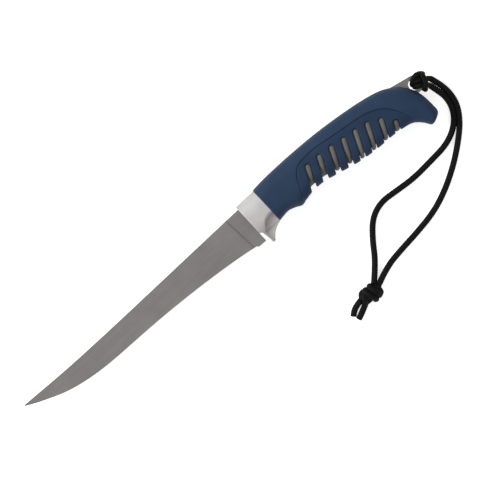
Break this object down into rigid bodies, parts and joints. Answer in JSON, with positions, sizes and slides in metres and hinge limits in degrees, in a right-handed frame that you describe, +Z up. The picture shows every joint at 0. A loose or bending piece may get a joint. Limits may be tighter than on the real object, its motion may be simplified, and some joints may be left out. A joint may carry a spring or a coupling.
{
  "type": "fillet knife",
  "caption": "Fillet knife with a long narrow blade, cast metal guard with a finger spur, ribbed two-tone moulded handle and a knotted cord wrist lanyard.",
  "frame": {"origin": "on the table, under the middle of the knife's box measured without its lanyard, with the knife lying on its side", "axes": "+X from the blade's tip towards the butt, +Y from the cutting edge towards the spine, +Z up, across the knife's thickness"},
  "size_m": [0.2952, 0.0963, 0.02],
  "materials": {
    "blade_steel": "matte grey coated stainless steel with a fine grain along the blade",
    "guard_metal": "satin cast metal, softly polished",
    "core_grey": "matte grey soft plastic",
    "shell_blue": "semi-matte dark blue moulded plastic with a fine grain",
    "pad_blue": "matte dark blue soft plastic",
    "cord_black": "black braided nylon"
  },
  "bodies": {
    "knife": {"blade": "blade_steel", "guard": "guard_metal", "handle_core": "core_grey", "handle_shell": "shell_blue", "grip_pad": "pad_blue"},
    "lanyard": {"lanyard_hitch": "cord_black", "lanyard_leg_inner": "cord_black", "lanyard_leg_outer": "cord_black", "lanyard_knot": "cord_black", "lanyard_tail_upper": "cord_black", "lanyard_tail_lower": "cord_black"}
  },
  "joints": [
    {"name": "lanyard_swing", "type": "hinge", "parent": "knife", "child": "lanyard", "pos_m": [0.13835, 0.00227, 0.01], "axis": [0, 0, 1], "range_deg": [-15, 80]}
  ]
}
